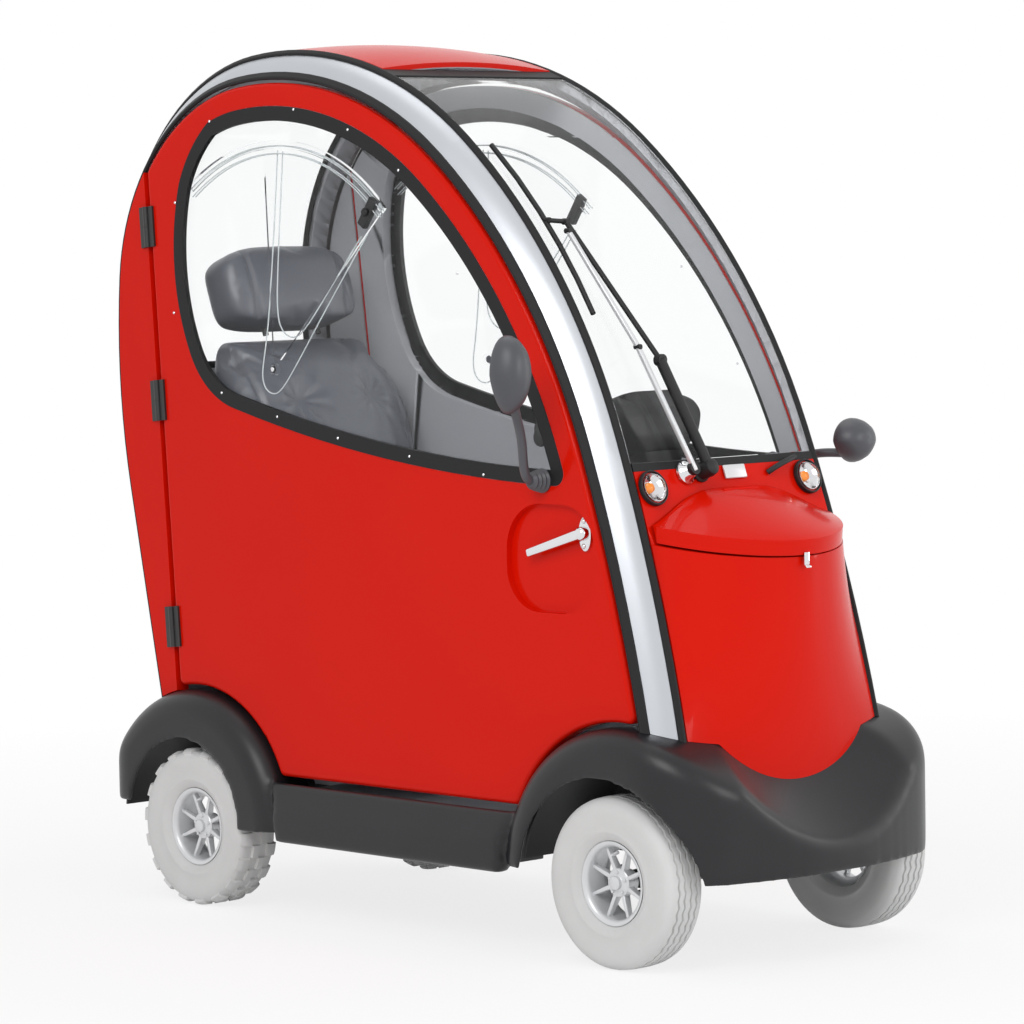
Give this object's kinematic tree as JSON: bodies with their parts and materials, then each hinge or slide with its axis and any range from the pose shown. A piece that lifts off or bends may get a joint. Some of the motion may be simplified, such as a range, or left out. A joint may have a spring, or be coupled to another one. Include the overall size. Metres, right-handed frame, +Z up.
{
  "type": "enclosed mobility scooter",
  "caption": "Enclosed one-seat mobility scooter: hooped cabin with hinged glazed doors, curved windscreen, lifting nose lid, tiller steering and small fat-tyred wheels.",
  "frame": {"origin": "on the ground, midway along the overall length and on the middle plane", "axes": "+X forward, +Y to the vehicle's left, +Z up"},
  "size_m": [1.7156, 0.917, 1.6777],
  "materials": {
    "red_shell": "glossy red paint on moulded panels",
    "black_body": "satin black",
    "black_plastic": "matt black",
    "black_steel": "satin black paint on steel",
    "silver_band": "satin silver",
    "seal_rubber": "matt black rubber",
    "clear_glass": "clear glazing",
    "grey_liner": "grained grey plastic",
    "bright_metal": "polished",
    "clear_lens": "clear lens over an amber bulb",
    "red_lens": "moulded red lens",
    "seat_vinyl": "dark grey vinyl over foam",
    "rim_silver": "satin silver",
    "grey_tyre": "light grey non-marking rubber"
  },
  "bodies": {
    "body": {"battery_pack": "black_plastic", "body_hinges": "black_steel", "chassis_frame": "black_steel", "column_support": "black_steel", "cross_seals": "seal_rubber", "dashboard": "black_plastic", "drive_unit": "black_steel", "floor_pan": "grey_liner", "front_bumper": "black_body", "front_lamps": "clear_lens", "hoop_seals": "seal_rubber", "nose_panel": "red_shell", "rear_bumper": "black_body", "rear_lamps": "red_lens", "rear_panel": "red_shell", "rear_quarters": "red_shell", "rear_window": "clear_glass", "roof_panel": "red_shell", "seat_backrest": "seat_vinyl", "seat_cushion": "seat_vinyl", "seat_frame": "black_steel", "seat_headrest": "seat_vinyl", "side_hoops": "silver_band", "sills": "black_body", "wheel_housings": "black_plastic", "windscreen": "clear_glass", "wiper": "black_plastic"},
    "door_right": {"door_panel_right": "red_shell", "door_window_right": "clear_glass", "window_band_right": "seal_rubber", "door_vent_right": "clear_glass", "door_handle_right": "bright_metal", "door_hinges_right": "black_steel", "mirror_right": "black_plastic"},
    "door_left": {"door_panel_left": "red_shell", "door_window_left": "clear_glass", "window_band_left": "seal_rubber", "door_vent_left": "clear_glass", "door_handle_left": "bright_metal", "door_hinges_left": "black_steel", "mirror_left": "black_plastic"},
    "lid": {"nose_lid": "red_shell"},
    "steering": {"steering_column": "grey_liner"},
    "pitman": {"pitman_arm": "black_steel"},
    "knuckle_right": {"knuckle_right": "black_steel"},
    "tie_rod_right": {"tie_rod_right": "black_steel"},
    "knuckle_left": {"knuckle_left": "black_steel"},
    "tie_rod_left": {"tie_rod_left": "black_steel"},
    "wheel_front_right": {"rim_front_right": "rim_silver", "tyre_front_right": "grey_tyre"},
    "wheel_front_left": {"rim_front_left": "rim_silver", "tyre_front_left": "grey_tyre"},
    "wheel_rear_right": {"rim_rear_right": "rim_silver", "tyre_rear_right": "grey_tyre"},
    "wheel_rear_left": {"rim_rear_left": "rim_silver", "tyre_rear_left": "grey_tyre"}
  },
  "joints": [
    {"name": "door_right_hinge", "type": "hinge", "parent": "body", "child": "door_right", "pos_m": [-0.6733, -0.30459, 0.98822], "axis": [0.0941, -0.0226, -0.9953], "range_deg": [0, 75]},
    {"name": "door_left_hinge", "type": "hinge", "parent": "body", "child": "door_left", "pos_m": [-0.6733, 0.30459, 0.98822], "axis": [-0.0941, -0.0226, 0.9953], "range_deg": [0, 75]},
    {"name": "lid_hinge", "type": "hinge", "parent": "body", "child": "lid", "pos_m": [0.59503, 0, 0.836], "axis": [0, -1, 0], "range_deg": [0, 40]},
    {"name": "steering_turn", "type": "hinge", "parent": "body", "child": "steering", "pos_m": [0.555, 0, 0.342], "axis": [-0.2924, 0, 0.9563], "range_deg": [-30, 30]},
    {"name": "pitman_turn", "type": "hinge", "parent": "body", "child": "pitman", "pos_m": [0.555, 0, 0.21], "axis": [0, 0, 1], "range_deg": [-30, 30]},
    {"name": "kingpin_right", "type": "hinge", "parent": "body", "child": "knuckle_right", "pos_m": [0.605, -0.235, 0.155], "axis": [0, 0, 1], "range_deg": [-30, 30]},
    {"name": "tie_rod_right_eye", "type": "hinge", "parent": "pitman", "child": "tie_rod_right", "pos_m": [0.485, 0, 0.153], "axis": [0, 0, 1], "range_deg": [-30, 30]},
    {"name": "kingpin_left", "type": "hinge", "parent": "body", "child": "knuckle_left", "pos_m": [0.605, 0.235, 0.155], "axis": [0, 0, 1], "range_deg": [-30, 30]},
    {"name": "tie_rod_left_eye", "type": "hinge", "parent": "pitman", "child": "tie_rod_left", "pos_m": [0.485, 0, 0.166], "axis": [0, 0, 1], "range_deg": [-30, 30]},
    {"name": "wheel_front_right_spin", "type": "hinge", "parent": "knuckle_right", "child": "wheel_front_right", "pos_m": [0.605, -0.3, 0.155], "axis": [0, 1, 0], "continuous": true},
    {"name": "wheel_rear_right_spin", "type": "hinge", "parent": "body", "child": "wheel_rear_right", "pos_m": [-0.545, -0.3, 0.155], "axis": [0, 1, 0], "continuous": true},
    {"name": "wheel_front_left_spin", "type": "hinge", "parent": "knuckle_left", "child": "wheel_front_left", "pos_m": [0.605, 0.3, 0.155], "axis": [0, 1, 0], "continuous": true},
    {"name": "wheel_rear_left_spin", "type": "hinge", "parent": "body", "child": "wheel_rear_left", "pos_m": [-0.545, 0.3, 0.155], "axis": [0, 1, 0], "continuous": true}
  ],
  "couplings": [
    {"joint": "pitman_turn", "follows": "steering_turn", "ratio": 1},
    {"joint": "kingpin_right", "follows": "steering_turn", "ratio": 1},
    {"joint": "tie_rod_right_eye", "follows": "steering_turn", "ratio": -1},
    {"joint": "kingpin_left", "follows": "steering_turn", "ratio": 1},
    {"joint": "tie_rod_left_eye", "follows": "steering_turn", "ratio": -1}
  ]
}
